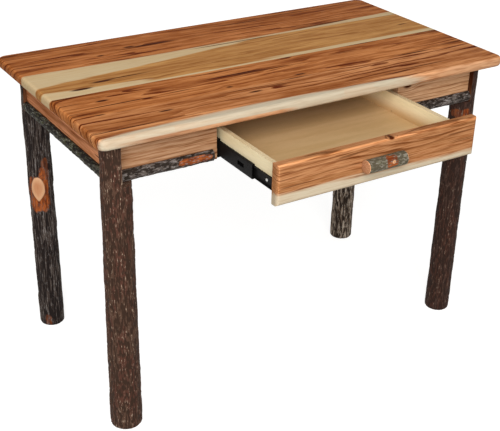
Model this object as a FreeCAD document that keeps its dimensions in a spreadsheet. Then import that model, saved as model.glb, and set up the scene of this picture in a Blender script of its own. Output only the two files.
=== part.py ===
import FreeCAD, Part
import os
import re

import Sketcher
from FreeCAD import Placement, Rotation, Vector

# Writing desk of hickory boards on four bark-on log legs, with one drawer on telescopic ball slides.
# Millimetres, +Z up, front towards -Y, drawer standing open as it is usually seen.
doc = FreeCAD.newDocument("WritingDesk")

SIZES = {
    # Glued-up top: four boards side by side, each a share of the depth, the front board taking the rest.
    "top_length": 1124,
    "top_depth": 610,
    "desk_height": 762,
    "top_thick": 25.4,
    "top_corner": 24,
    "top_edge": 9,
    "back_board_share": 0.2984,
    "middle_board_share": 0.2738,
    "inner_board_share": 0.2148,
    # Log legs: no two alike, each set a little off its nominal place.
    "leg_inset": 61,
    "leg_waist": 380,
    "foot_round": 4,
    "leg_fl_foot": 38.5,
    "leg_fl_waist": 36,
    "leg_fl_head": 33.5,
    "leg_fl_set_x": -4.3,
    "leg_fl_set_y": -10,
    "leg_fr_foot": 33.5,
    "leg_fr_waist": 32,
    "leg_fr_head": 31,
    "leg_fr_set_x": -5,
    "leg_fr_set_y": 4.4,
    "leg_bl_foot": 33,
    "leg_bl_waist": 33,
    "leg_bl_head": 32,
    "leg_bl_set_x": 8,
    "leg_bl_set_y": 1.2,
    "leg_br_foot": 34,
    "leg_br_waist": 34,
    "leg_br_head": 33.5,
    "leg_br_set_x": 7,
    "leg_br_set_y": -0.8,
    # Apron boards and the bark-on rails glued under them. The side pair hangs a little lower.
    "apron_inset": 48.5,
    "apron_thick": 20,
    "apron_height": 70,
    "rail_height": 27,
    "side_apron_height": 79,
    "side_rail_height": 24,
    "bark_depth": 12,
    "bark_swell": 1.5,
    "board_ease": 1.5,
    # Corner blocks, hanger bolts and the screws that hold the top.
    "block_reach": 80,
    "block_nose": 24,
    "block_height": 50,
    "leg_flat": 12,
    "dowel_diameter": 8,
    "dowel_bite": 11,
    "dowel_seat": 19,
    "long_dowel_low": 9,
    "long_dowel_high": 61,
    "short_dowel_low": 21,
    "short_dowel_high": 34,
    "bolt_diameter": 8,
    "bolt_grip": 18,
    "bolt_tail": 3,
    "washer_diameter": 20,
    "washer_thick": 1.6,
    "nut_flats": 13,
    "nut_thick": 6.5,
    "hole_play": 0.15,
    "block_screw_aside": 25,
    "top_screw_bite": 16,
    "screw_end_play": 1,
    "screw_shank": 4,
    "screw_head": 8,
    "screw_head_thick": 1.8,
    "screw_length": 15,
    # Drawer opening, runners and stretcher.
    "opening_width": 515,
    "runner_thick": 20,
    "stretcher_thick": 18,
    "stretcher_depth": 60,
    # Telescopic slide: cabinet channel, middle channel, drawer channel and two ball cages.
    "slide_width": 12.7,
    "slide_height": 45,
    "slide_back_room": 40.5,
    "slide_drop": 73,
    "slide_setback": 2.5,
    "steel": 1.2,
    "bend_inside": 0.3,
    "outer_ball": 3.6,
    "inner_ball": 3,
    "ball_play": 0.05,
    "lip_play": 0.5,
    "cabinet_depth": 9.5,
    "middle_back": 4.2,
    "middle_depth": 6.8,
    "flange_depth": 5.8,
    "cage_steel": 0.4,
    "cage_length": 140,
    "ball_pitch": 58,
    "cage_play": 0.45,
    "slot_from_end": 34,
    "slot_length": 26,
    "slot_height": 10,
    "slide_end_screw": 48,
    # Drawer: birch ply box, applied front and twig pull.
    "drawer_out": 237.5,
    "middle_share": 0.6,
    "closed_gap": 1,
    "overlay_left": 10,
    "overlay_right": 17.5,
    "bark_stop_play": 2.5,
    "front_drop": 5,
    "front_height": 93.5,
    "front_thick": 20,
    "front_edge": 8,
    "box_clear": 10.5,
    "box_height": 62,
    "side_thick": 12,
    "bottom_thick": 6,
    "groove_depth": 6,
    "groove_up": 8,
    "groove_play": 0.15,
    "front_screw_inset": 60,
    "front_screw_edge": 13,
    "front_screw_bite": 12,
    "pull_radius": 16,
    "pull_taper": 1,
    "pull_length": 108.5,
    "pull_flat": 3,
    "pull_round": 2.5,
    "pull_offset": 2.2,
    "pull_rise": 0.3,
    "pull_screw_pitch": 64,
    "pull_screw_bite": 16,
}

PLACES = {
    "underside": "desk_height - top_thick",
    "apron_seam": "underside - apron_height",
    "apron_bottom": "apron_seam - rail_height",
    "side_seam": "underside - side_apron_height",
    "side_bottom": "side_seam - side_rail_height",
    "face_x": "top_length / 2 - apron_inset",
    "face_y": "top_depth / 2 - apron_inset",
    "inner_x": "face_x - apron_thick",
    "inner_y": "face_y - apron_thick",
    "leg_x": "top_length / 2 - leg_inset",
    "leg_y": "top_depth / 2 - leg_inset",
    "back_board": "back_board_share * top_depth",
    "middle_board": "middle_board_share * top_depth",
    "inner_board": "inner_board_share * top_depth",
    "seam_back": "top_depth / 2 - back_board",
    "seam_middle": "seam_back - middle_board",
    "seam_inner": "seam_middle - inner_board",
    "front_board": "top_depth / 2 + seam_inner",
    "open_half": "opening_width / 2",
    "bolt_hole": "bolt_diameter / 2 + hole_play",
    "screw_hole": "screw_shank / 2 + hole_play",
    "dowel_hole": "dowel_diameter / 2 + hole_play",
    "block_face": "block_reach * sqrt(0.5)",
    "block_mid": "(block_nose + block_face) / 2",
    "block_bottom": "underside - block_height",
    "bolt_level": "underside - block_height / 2",
    "front_back": "face_y + closed_gap + drawer_out",
    "front_face": "front_back + front_thick",
    "front_left": "open_half + overlay_left",
    "front_right": "open_half + overlay_right",
    "front_bottom": "apron_bottom - front_drop",
    "pull_axis": "front_face + pull_radius - pull_flat",
    "pull_level": "front_bottom + front_height / 2 + pull_rise",
    "desk_y": "(pull_axis + pull_radius - top_depth / 2) / 2",
    "box_half": "open_half - slide_width",
    "box_inner": "box_half - side_thick",
    "box_top": "underside - stretcher_thick - box_clear",
    "box_bottom": "box_top - box_height",
    "groove_floor": "box_bottom + groove_up",
    "groove_roof": "groove_floor + bottom_thick + 2 * groove_play",
    "slide_length": "face_y + inner_y - slide_setback - slide_back_room",
    "box_rear": "slide_length - front_back",
    "bend_outside": "bend_inside + steel",
    "slide_level": "underside - slide_drop",
    "slide_half": "slide_height / 2",
    "cabinet_race": "slide_half - steel",
    "middle_half": "cabinet_race - outer_ball - 2 * ball_play",
    "middle_race": "middle_half - steel",
    "drawer_half": "middle_race - inner_ball - 2 * ball_play",
    "middle_front": "middle_back + middle_depth",
    "drawer_tip": "slide_width - flange_depth",
    "outer_ball_level": "(cabinet_race + middle_half) / 2",
    "inner_ball_level": "(middle_race + drawer_half) / 2",
    "outer_cage_back": "middle_back - cage_play - cage_steel",
    "inner_cage_back": "middle_back + steel + cage_play",
    "outer_ball_depth": "outer_cage_back + cage_steel + outer_ball / 2 + 2 * ball_play",
    "inner_ball_depth": "inner_cage_back + cage_steel + inner_ball / 2 + 2 * ball_play",
    "cabinet_rear": "slide_length + slide_setback - face_y",
    "middle_rear": "cabinet_rear - middle_share * drawer_out",
    "drawer_slide_rear": "slide_length - front_back + slide_setback",
    "outer_cage_mid": "cabinet_rear - slide_length / 2 - middle_share / 2 * drawer_out",
    "inner_cage_mid": "cabinet_rear - slide_length / 2 - (1 + middle_share) / 2 * drawer_out",
}


def fill(sheet, table, text_of):
    for row, (alias, value) in enumerate(table.items(), 1):
        sheet.set(f"A{row}", alias)
        sheet.set(f"B{row}", text_of(value))
        sheet.setAlias(f"B{row}", alias)


def bound(text):
    """An expression in plain size names, with each name pointed at its sheet."""
    return re.sub(r"[a-z][a-z_]*", lambda word: OWNER.get(word[0], "") + word[0], text)


OWNER = {alias: "Sizes." for alias in SIZES} | {alias: "Places." for alias in PLACES}
sizes = doc.addObject("Spreadsheet::Sheet", "Sizes")
fill(sizes, SIZES, str)
doc.recompute()
places = doc.addObject("Spreadsheet::Sheet", "Places")
fill(places, PLACES, lambda text: "=" + bound(text))
doc.recompute()
nodes = []


def val(text):
    """The number that an expression in size names comes to."""
    return float(sizes.evalExpression(bound(text)))


def place(thing, x, y, z, turn=None):
    if turn is not None:
        thing.Placement = Placement(Vector(), turn)
    for axis, text in zip("xyz", (x, y, z)):
        thing.setExpression(f"Placement.Base.{axis}", bound(text))


def new_body(label, x, y, z, turn=None):
    body = doc.addObject("PartDesign::Body", label)
    body.Label = label
    place(body, x, f"{y} + desk_y", z, turn)
    nodes.append(body)
    return body


def sketch_on(body, role, offset="0"):
    sketch = body.newObject("Sketcher::SketchObject", "Sketch")
    plane = next(feature for feature in body.Origin.OriginFeatures if feature.Role == role)
    sketch.AttachmentSupport = (plane, [""])
    sketch.MapMode = "FlatFace"
    sketch.setExpression("AttachmentOffset.Base.z", bound(offset))
    return sketch


def hold(sketch, kind, *where, text):
    index = sketch.addConstraint(Sketcher.Constraint(kind, *where, val(text)))
    sketch.setExpression(f"Constraints[{index}]", bound(text))


def pin(sketch, geometry, point, x, y):
    hold(sketch, "DistanceX", -1, 1, geometry, point, text=x)
    hold(sketch, "DistanceY", -1, 1, geometry, point, text=y)


def outline(sketch, points):
    """A closed straight-sided outline with every corner held by its two distances from the origin."""
    corners = [Vector(val(x), val(y), 0) for x, y in points]
    first = sketch.GeometryCount
    count = len(points)
    for start, end in zip(corners, corners[1:] + corners[:1]):
        sketch.addGeometry(Part.LineSegment(start, end), False)
    for index, (x, y) in enumerate(points):
        after = first + (index + 1) % count
        sketch.addConstraint(Sketcher.Constraint("Coincident", first + index, 2, after, 1))
        pin(sketch, first + index, 1, x, y)


def circle(sketch, x, y, radius):
    middle = Vector(val(x), val(y), 0)
    index = sketch.addGeometry(Part.Circle(middle, Vector(0, 0, 1), val(radius)), False)
    pin(sketch, index, 3, x, y)
    hold(sketch, "Radius", index, text=radius)


def extrude(body, sketch, length, kind="Pad", flip=False):
    feature = body.newObject("PartDesign::" + kind, kind)
    feature.Profile = sketch
    feature.setExpression("Length", bound(length))
    feature.Reversed = flip
    doc.recompute()
    return feature


def cut(body, sketch, depth, flip=False):
    before = body.Shape.Volume
    pocket = extrude(body, sketch, depth, "Pocket", flip)
    if body.Shape.Volume > before - 1e-3:
        raise ValueError(f"a pocket in {body.Label} cuts nothing")
    return pocket


def loft(body, sections, ruled=False):
    feature = body.newObject("PartDesign::AdditiveLoft", "Loft")
    feature.Profile = sections[0]
    feature.Sections = sections[1:]
    feature.Ruled = ruled
    doc.recompute()
    return feature


def bore(body, x, y, z, along, radius, depth):
    """A plain hole from a point of the body, running along a direction."""
    before = body.Shape.Volume
    hole = body.newObject("PartDesign::SubtractiveCylinder", "Bore")
    hole.setExpression("Radius", bound(radius))
    hole.setExpression("Height", bound(depth))
    place(hole, x, y, z, Rotation(Vector(0, 0, 1), Vector(*along)))
    doc.recompute()
    if body.Shape.Volume > before - 1e-3:
        raise ValueError(f"a bore in {body.Label} cuts nothing")


def dress(body, kind, size, wanted):
    """Rounds or chamfers the edges whose middle point passes the test."""
    base = body.Tip
    edges = [
        f"Edge{number}"
        for number, edge in enumerate(base.Shape.Edges, 1)
        if wanted(edge.CenterOfMass if edge.isClosed() else edge.valueAt(sum(edge.ParameterRange) / 2))
    ]
    feature = body.newObject("PartDesign::" + kind, kind)
    feature.Base = (base, edges)
    feature.setExpression("Radius" if kind == "Fillet" else "Size", bound(size))
    doc.recompute()


def near(number, text):
    return abs(number - val(text)) < 0.01


def board(label, low, high):
    """A plain board between two corners."""
    length, width, height = (f"({b}) - ({a})" for a, b in zip(low, high))
    body = new_body(label, *low)
    sketch = sketch_on(body, "XY_Plane")
    outline(sketch, [("0", "0"), (length, "0"), (length, width), ("0", width)])
    extrude(body, sketch, height)
    return body


def group(label, solids):
    """Identical loose pieces that share one node."""
    feature = doc.addObject("Part::Feature", label)
    feature.Label = label
    feature.Shape = Part.makeCompound(solids)
    feature.Placement = Placement(Vector(0, val("desk_y"), 0), Rotation())
    nodes.append(feature)


def turned(profile, at, along):
    """A solid of revolution from a half profile of (radius, height), set on a point along a direction."""
    wire = Part.makePolygon([Vector(r, 0, h) for r, h in profile + profile[:1]])
    solid = Part.Face(wire).revolve(Vector(), Vector(0, 0, 1), 360)
    solid.Placement = Placement(Vector(*at), Rotation(Vector(0, 0, 1), Vector(*along)))
    return solid


def screw(at, along, length):
    """A pan-head wood screw seated on a point, its shank running along a direction."""
    shank = val("screw_shank") / 2
    head = val("screw_head") / 2
    thick = val("screw_head_thick")
    profile = [(0, -thick), (0.7 * head, -thick), (head, -0.5 * thick), (head, 0)]
    profile += [(shank, 0), (shank, length - 2 * shank), (0, length)]
    return turned(profile, at, along)


# Top boards: outer boards have rounded plan corners, every board has its exposed edges rounded over.
def top_board(label, rear, width, front=False, back=False):
    front_seam = f"{rear} - ({width})"
    low = ("-top_length / 2", front_seam, "underside")
    body = board(label, low, ("top_length / 2", rear, "desk_height"))
    if front or back:
        outer = "0" if front else width
        dress(body, "Fillet", "top_corner", lambda p: near(p.z, "top_thick / 2") and near(p.y, outer))

    def exposed(point):
        if not (near(point.z, "0") or near(point.z, "top_thick")):
            return False
        inner_edge = (near(point.y, width) and not back) or (near(point.y, "0") and not front)
        return not inner_edge

    for x, y in TOP_SCREWS:
        if val(front_seam) < val(y) < val(rear):
            bore(body, f"{x} + top_length / 2", f"{y} - ({front_seam})", "0", (0, 0, 1),
                 "screw_hole", "top_screw_bite")
    dress(body, "Fillet", "top_edge", exposed)


CORNERS = {"fl": (-1, -1), "fr": (1, -1), "bl": (-1, 1), "br": (1, 1)}
TOP_SCREWS = [
    (f"{side} * (inner_x - (block_mid + block_screw_aside) * sqrt(0.5))",
     f"{end} * (inner_y - (block_mid - block_screw_aside) * sqrt(0.5))")
    for side, end in CORNERS.values()
]
TOP_SCREWS += [(f"{side} * opening_width / 4", "stretcher_depth / 2 - face_y") for side in (-1, 1)]
top_board("top_board_back", "top_depth / 2", "back_board", back=True)
top_board("top_board_middle", "seam_back", "middle_board")
top_board("top_board_inner", "seam_middle", "inner_board")
top_board("top_board_front", "seam_inner", "front_board", front=True)


def dowels(side, end, run):
    """Dowel places at one corner, for the apron running along x or along y, with the way into the leg."""
    if run == "x":
        spot = (f"{side} * inner_x", f"{end} * (face_y - apron_thick / 2)")
        return [(*spot, f"apron_seam + long_dowel_{level}", (side, 0, 0)) for level in ("low", "high")]
    spot = (f"{side} * (face_x - apron_thick / 2)", f"{end} * inner_y")
    return [(*spot, f"apron_seam + short_dowel_{level}", (0, end, 0)) for level in ("low", "high")]


# Legs: whole logs below the aprons; above, only the outer corner of the log stays, with two flats
# that the aprons butt against and a small flat across the arris for the hanger bolt.
def leg(label, side, end):
    x = f"({side} * leg_x + {label}_set_x)"
    y = f"({end} * leg_y + {label}_set_y)"
    body = new_body(label, x, y, "0")
    sections = []
    for level, radius in (("0", "foot"), ("leg_waist", "waist"), ("underside", "head")):
        sketch = sketch_on(body, "XY_Plane", level)
        circle(sketch, "0", "0", f"{label}_{radius}")
        sections.append(sketch)
    loft(body, sections)
    corner_x = f"({side} * inner_x - {x})"
    corner_y = f"({end} * inner_y - {y})"
    far = f"3 * {label}_foot"
    notch = sketch_on(body, "XY_Plane", "underside")
    outline(notch, [
        (corner_x, f"{corner_y} + {end} * {far}"),
        (f"{corner_x} - {side} * {far}", f"{corner_y} + {end} * {far}"),
        (f"{corner_x} - {side} * {far}", f"{corner_y} - {end} * {far}"),
        (f"{corner_x} + {side} * {far}", f"{corner_y} - {end} * {far}"),
        (f"{corner_x} + {side} * {far}", corner_y),
        (f"{corner_x} + {side} * leg_flat", corner_y),
        (corner_x, f"{corner_y} + {end} * leg_flat"),
    ])
    cut(body, notch, "apron_height + rail_height")
    ledge = sketch_on(body, "XY_Plane", "apron_bottom")
    outline(ledge, [
        (f"{corner_x} - {side} * {far}", corner_y),
        (f"{corner_x} - {side} * {far}", f"{corner_y} - {end} * {far}"),
        (f"{corner_x} + {side} * {far}", f"{corner_y} - {end} * {far}"),
        (f"{corner_x} + {side} * {far}", corner_y),
    ])
    cut(body, ledge, "apron_bottom - side_bottom")
    bore(body, corner_x, corner_y, "bolt_level", (side, end, 0),
         "bolt_hole", "leg_flat * sqrt(0.5) + bolt_grip")
    for at_x, at_y, level, way in dowels(side, end, "x") + dowels(side, end, "y"):
        bore(body, f"{at_x} - {x}", f"{at_y} - {y}", level, way,
             "dowel_hole", "dowel_bite + screw_end_play")
    dress(body, "Fillet", "foot_round", lambda p: near(p.z, "0"))


for corner, (side, end) in CORNERS.items():
    leg(f"leg_{corner}", side, end)

# Aprons: the front one is in two halves, one each side of the drawer opening. Where two aprons meet
# at a leg, the hanger bolt passes through their shared arris.
def apron(label, run, low, high, corners):
    seam = "apron_seam" if run == "x" else "side_seam"
    body = board(label, (*low, seam), (*high, "underside"))
    for side, end in corners:
        bore(body, f"{side} * (inner_x - bolt_diameter) - ({low[0]})",
             f"{end} * (inner_y - bolt_diameter) - ({low[1]})",
             f"bolt_level - {seam}", (side, end, 0), "bolt_hole", "3 * bolt_diameter")
        for x, y, level, way in dowels(side, end, run):
            bore(body, f"{x} - ({low[0]})", f"{y} - ({low[1]})", f"{level} - {seam}",
                 [-step for step in way], "dowel_hole", "dowel_seat + screw_end_play")
    return body


left_front = apron("apron_front_left", "x", ("-inner_x", "-face_y"), ("-open_half", "-inner_y"), [(-1, -1)])
right_front = apron("apron_front_right", "x", ("open_half", "-face_y"), ("inner_x", "-inner_y"), [(1, -1)])
apron("apron_left", "y", ("-face_x", "-inner_y"), ("-inner_x", "inner_y"), [(-1, -1), (-1, 1)])
apron("apron_right", "y", ("inner_x", "-inner_y"), ("face_x", "inner_y"), [(1, -1), (1, 1)])
apron("apron_back", "x", ("-inner_x", "inner_y"), ("inner_x", "face_y"), [(-1, 1), (1, 1)])
for body, end_x in ((left_front, "inner_x - open_half"), (right_front, "0")):
    dress(body, "Fillet", "board_ease",
          lambda p: near(p.x, end_x) and near(p.y, "0") and near(p.z, "apron_height / 2"))


# Bark rails: sawn flat at the back, top and bottom, with the round bark side left on in front,
# swelling and thinning along the run. The front pair is cut back flush where the drawer front closes.
def bark_rail(label, x, y, turn, length, swells, stop_at=None, bottom="apron_bottom", height="rail_height"):
    body = new_body(label, x, y, bottom, Rotation(Vector(0, 0, 1), turn))
    sections = []
    for step, swell in enumerate(swells):
        depth = f"(bark_depth + {swell} * bark_swell)"
        sketch = sketch_on(body, "YZ_Plane", f"({length}) * {step} / {len(swells) - 1}")
        corners = [("-apron_thick", "0"), ("0", "0"), ("0", height), ("-apron_thick", height)]
        spots = [Vector(val(a), val(b), 0) for a, b in corners]
        for start, end in zip(spots, spots[1:]):
            sketch.addGeometry(Part.LineSegment(start, end), False)
        crown = Vector(val(f"-apron_thick - {depth}"), val(f"{height} / 2"), 0)
        sketch.addGeometry(Part.ArcOfCircle(spots[3], crown, spots[0]), False)
        for line in range(3):
            pin(sketch, line, 1, *corners[line])
        pin(sketch, 2, 2, *corners[3])
        sketch.addConstraint(Sketcher.Constraint("Coincident", 0, 2, 1, 1))
        sketch.addConstraint(Sketcher.Constraint("Coincident", 1, 2, 2, 1))
        arc = sketch.Geometry[3]
        top_end = 1 if arc.StartPoint.y > arc.EndPoint.y else 2
        sketch.addConstraint(Sketcher.Constraint("Coincident", 3, top_end, 2, 2))
        sketch.addConstraint(Sketcher.Constraint("Coincident", 3, 3 - top_end, 0, 1))
        middle = f"({height} ^ 2 / 4 - {depth} ^ 2) / (2 * {depth}) - apron_thick"
        hold(sketch, "DistanceX", -1, 1, 3, 3, text=middle)
        sections.append(sketch)
    loft(body, sections, ruled=True)
    if stop_at is not None:
        stop = sketch_on(body, "XY_Plane", height)
        from_x, to_x = stop_at
        deep = "apron_thick + 2 * bark_depth + bark_swell"
        outline(stop, [
            (from_x, "-apron_thick"),
            (from_x, f"-({deep})"),
            (to_x, f"-({deep})"),
            (to_x, "-apron_thick"),
        ])
        cut(body, stop, height)


half_run = "inner_x - open_half"
bark_rail("bark_rail_front_left", "-inner_x", "-inner_y", 0, half_run, (0, 1, -1, 0),
          (f"{half_run} - overlay_left - bark_stop_play", half_run))
bark_rail("bark_rail_front_right", "open_half", "-inner_y", 0, half_run, (0, -1, 1, 0),
          ("0", "overlay_right + bark_stop_play"))
side_cut = {"bottom": "side_bottom", "height": "side_rail_height"}
bark_rail("bark_rail_left", "-inner_x", "inner_y", -90, "2 * inner_y", (-1, 1, 0, 1, -1), **side_cut)
bark_rail("bark_rail_right", "inner_x", "-inner_y", 90, "2 * inner_y", (0, -1, 1, -1, 1), **side_cut)
bark_rail("bark_rail_back", "inner_x", "inner_y", 180, "2 * inner_x", (0, 1, -1, 1, 0, -1))


# Corner blocks: diagonal braces between two aprons, bored for the hanger bolt and one top screw.
def corner_block(label, side, end):
    angle = {(-1, -1): 45, (1, -1): 135, (1, 1): 225, (-1, 1): 315}[side, end]
    turn = Rotation(Vector(0, 0, 1), angle)
    body = new_body(label, f"{side} * inner_x", f"{end} * inner_y", "block_bottom", turn)
    sketch = sketch_on(body, "XY_Plane")
    outline(sketch, [
        ("block_nose", "-block_nose"),
        ("block_face", "-block_face"),
        ("block_face", "block_face"),
        ("block_nose", "block_nose"),
    ])
    extrude(body, sketch, "block_height")
    bore(body, "0", "0", "block_height / 2", (1, 0, 0), "bolt_hole", "2 * block_face")
    aside = 1 if side * end < 0 else -1
    bore(body, "block_mid", f"{aside} * block_screw_aside", "0", (0, 0, 1), "screw_hole", "block_height")


for corner, (side, end) in CORNERS.items():
    corner_block(f"corner_block_{corner}", side, end)

# Stretcher over the drawer opening, and the runners that carry the slides.
stretcher = board(
    "front_stretcher",
    ("-open_half", "-face_y", "underside - stretcher_thick"),
    ("open_half", "stretcher_depth - face_y", "underside"),
)
for side in (-1, 1):
    bore(stretcher, f"open_half + {side} * opening_width / 4", "stretcher_depth / 2", "0", (0, 0, 1),
         "screw_hole", "stretcher_thick")
SLIDE_SCREWS = ["slide_end_screw", "slide_length / 2", "slide_length - slide_end_screw"]


def runner(label, side):
    near_x, far_x = "open_half", "open_half + runner_thick"
    if side < 0:
        near_x, far_x = f"-({far_x})", f"-{near_x}"
    body = board(label, (near_x, "-inner_y", "apron_bottom"), (far_x, "inner_y", "underside"))
    for along in SLIDE_SCREWS:
        bore(body, "runner_thick" if side < 0 else "0", f"cabinet_rear - slide_length + {along} + inner_y",
             "slide_level - apron_bottom", (side, 0, 0), "screw_hole", "screw_length")


runner("runner_left", -1)
runner("runner_right", 1)


# Telescopic slides, one each side, folded from sheet steel with every bend rounded.
# Depths are measured from the runner towards the drawer.
def channel(label, side, rear, length, points, outside=(), inside=()):
    """A channel of one section, with the section's outside and inside bends named by their number."""
    body = new_body(label, f"{side} * open_half", rear, "slide_level")
    sketch = sketch_on(body, "XZ_Plane")
    outline(sketch, [(f"{-side} * ({depth})", height) for depth, height in points])
    extrude(body, sketch, length)
    for bends, size in ((outside, "bend_outside"), (inside, "bend_inside")):
        spots = [points[number] for number in bends]
        if spots:
            dress(body, "Fillet", size, lambda p: any(
                near(-side * p.x, depth) and near(p.z, height) for depth, height in spots))
    return body


def lipped(back, front, half, lip_end):
    """A channel section with its web at the back and both flanges ending in inward lips."""
    lower = [
        (back, f"-({half})"),
        (front, f"-({half})"),
        (front, f"-({lip_end})"),
        (f"{front} - steel", f"-({lip_end})"),
        (f"{front} - steel", f"steel - ({half})"),
        (f"{back} + steel", f"steel - ({half})"),
    ]
    return lower + [(depth, f"-({height})") for depth, height in reversed(lower)]


def plain(back, front, half, sheet):
    """A plain channel section with its web on the first depth and its flanges reaching to the second."""
    inner = f"{back} + {sheet}" if val(front) > val(back) else f"{back} - {sheet}"
    lower = [
        (back, f"-({half})"),
        (front, f"-({half})"),
        (front, f"{sheet} - ({half})"),
        (inner, f"{sheet} - ({half})"),
    ]
    return lower + [(depth, f"-({height})") for depth, height in reversed(lower)]


def web_holes(body, side, depth, spots):
    sketch = sketch_on(body, "YZ_Plane", f"{-side} * ({depth})")
    for along in spots:
        circle(sketch, f"{along} - slide_length", "0", "screw_hole")
    cut(body, sketch, "steel", flip=side < 0)


def slide(name, side):
    cabinet = channel(f"slide_{name}_cabinet", side, "cabinet_rear", "slide_length",
                      lipped("0", "cabinet_depth", "slide_half", "middle_half + lip_play"),
                      outside=(0, 1, -2, -1), inside=(4, 5, -6, -5))
    web_holes(cabinet, side, "0", SLIDE_SCREWS)
    middle = channel(f"slide_{name}_middle", side, "middle_rear", "slide_length",
                     lipped("middle_back", "middle_front", "middle_half", "drawer_half + lip_play"),
                     outside=(0, 1, -2, -1), inside=(4, 5, -6, -5))
    slot = sketch_on(middle, "YZ_Plane", f"{-side} * middle_back")
    rear, front = "slot_from_end + slot_length - slide_length", "slot_from_end - slide_length"
    outline(slot, [
        (front, "-slot_height / 2"),
        (rear, "-slot_height / 2"),
        (rear, "slot_height / 2"),
        (front, "slot_height / 2"),
    ])
    cut(middle, slot, "steel", flip=side < 0)
    drawer = channel(f"slide_{name}_drawer", side, "drawer_slide_rear", "slide_length",
                     plain("slide_width", "drawer_tip", "drawer_half", "steel"),
                     outside=(0, -1), inside=(3, -4))
    web_holes(drawer, side, "slide_width - steel", SLIDE_SCREWS)
    for layer in ("outer", "inner"):
        front_lip = "cabinet_depth" if layer == "outer" else "middle_front"
        section = plain(f"{layer}_cage_back", f"{front_lip} - steel - ball_play * 2",
                        f"{layer}_ball_level + cage_steel / 2", "cage_steel")
        body = channel(f"slide_{name}_{layer}_cage", side, f"{layer}_cage_mid + cage_length / 2",
                       "cage_length", section)
        holes = sketch_on(body, "XY_Plane", "slide_half")
        for step in (-1, 0, 1):
            circle(holes, f"{-side} * {layer}_ball_depth", f"{step} * ball_pitch - cage_length / 2",
                   f"{layer}_ball / 2 + ball_play")
        cut(body, holes, "slide_height")


slide("left", -1)
slide("right", 1)


def balls(layer):
    radius = val(f"{layer}_ball / 2")
    spots = [
        Vector(
            side * val(f"open_half - {layer}_ball_depth"),
            val(f"{layer}_cage_mid + {step} * ball_pitch"),
            val(f"slide_level + {level} * {layer}_ball_level"),
        )
        for side in (-1, 1) for level in (-1, 1) for step in (-1, 0, 1)
    ]
    group(f"slide_{layer}_balls", [Part.makeSphere(radius, spot) for spot in spots])


balls("outer")
balls("inner")


# Drawer box: ply sides grooved for the bottom panel, front and back between the sides.
def grooved(label, role, x, y, length, into):
    """A board whose section has the groove for the bottom panel on its inner face."""
    body = new_body(label, x, y, "box_bottom")
    sketch = sketch_on(body, role)
    face = "side_thick" if into > 0 else "0"
    deep = "side_thick - groove_depth" if into > 0 else "groove_depth"
    back = "0" if into > 0 else "side_thick"
    low, high = "groove_floor - box_bottom", "groove_roof - box_bottom"
    outline(sketch, [(back, "0"), (face, "0"), (face, low), (deep, low), (deep, high), (face, high),
                     (face, "box_height"), (back, "box_height")])
    extrude(body, sketch, length)
    return body


side_left = grooved("drawer_side_left", "XZ_Plane", "-box_half", "box_rear", "slide_length", 1)
side_right = grooved("drawer_side_right", "XZ_Plane", "box_inner", "box_rear", "slide_length", -1)
for side, body in ((-1, side_left), (1, side_right)):
    for along in SLIDE_SCREWS:
        bore(body, "0" if side < 0 else "side_thick",
             f"drawer_slide_rear - slide_length + {along} - box_rear",
             "slide_level - box_bottom", (-side, 0, 0), "screw_hole", "side_thick")
box_front = grooved("drawer_box_front", "YZ_Plane", "-box_inner", "-front_back", "2 * box_inner", 1)
board("drawer_back", ("-box_inner", "box_rear - side_thick", "groove_roof"),
      ("box_inner", "box_rear", "box_top"))
panel_half = "box_inner + groove_depth - groove_play"
panel_front = "side_thick + groove_play - groove_depth - front_back"
board("drawer_bottom", (f"-({panel_half})", panel_front, "groove_floor + groove_play"),
      (panel_half, "box_rear", "groove_roof - groove_play"))

# Drawer front: solid board laid over the opening, every edge well rounded, holding the twig pull.
front = board("drawer_front", ("-front_left", "-front_face", "front_bottom"),
              ("front_right", "-front_back", "front_bottom + front_height"))
FRONT_SCREWS = [(f"{sx} * (box_inner - front_screw_inset)", level) for sx in (-1, 1)
                for level in ("box_top - front_screw_edge", "groove_roof + front_screw_edge")]
PULL_SCREWS = [(f"pull_offset + {sx} * pull_screw_pitch / 2", "pull_level") for sx in (-1, 1)]
for x, level in FRONT_SCREWS:
    bore(box_front, f"{x} + box_inner", "0", f"{level} - box_bottom", (0, 1, 0), "screw_hole", "side_thick")
    bore(front, f"{x} + front_left", "front_thick", f"{level} - front_bottom", (0, -1, 0),
         "screw_hole", "front_screw_bite")
for x, level in PULL_SCREWS:
    bore(box_front, f"{x} + box_inner", "0", f"{level} - box_bottom", (0, 1, 0), "screw_hole", "side_thick")
    bore(front, f"{x} + front_left", "0", f"{level} - front_bottom", (0, 1, 0), "screw_hole", "front_thick")
dress(front, "Fillet", "front_edge",
      lambda p: near(p.y, "0") and not near(p.z, "pull_level - front_bottom"))

# Pull: a length of bark-on branch, flattened where it seats on the drawer front.
pull = new_body("drawer_pull", "pull_offset - pull_length / 2", "-pull_axis", "pull_level")
half = sketch_on(pull, "XZ_Plane")
thin = "pull_radius - pull_taper"
outline(half, [
    ("0", "0"),
    ("0", f"{thin} - pull_round"),
    ("pull_round", thin),
    ("pull_length * 0.35", "pull_radius"),
    ("pull_length - pull_round", thin),
    ("pull_length", f"{thin} - pull_round"),
    ("pull_length", "0"),
])
turning = pull.newObject("PartDesign::Revolution", "Revolution")
turning.Profile = half
turning.ReferenceAxis = (half, ["H_Axis"])
turning.Angle = 360
doc.recompute()
flat = sketch_on(pull, "XY_Plane", "2 * pull_radius")
seat = "pull_radius - pull_flat"
outline(flat, [
    ("-pull_radius", seat),
    ("2 * pull_length", seat),
    ("2 * pull_length", "2 * pull_radius"),
    ("-pull_radius", "2 * pull_radius"),
])
cut(pull, flat, "4 * pull_radius")
for x, level in PULL_SCREWS:
    bore(pull, f"{x} - pull_offset + pull_length / 2", seat, "0", (0, -1, 0),
         "screw_hole", "pull_screw_bite")

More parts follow.
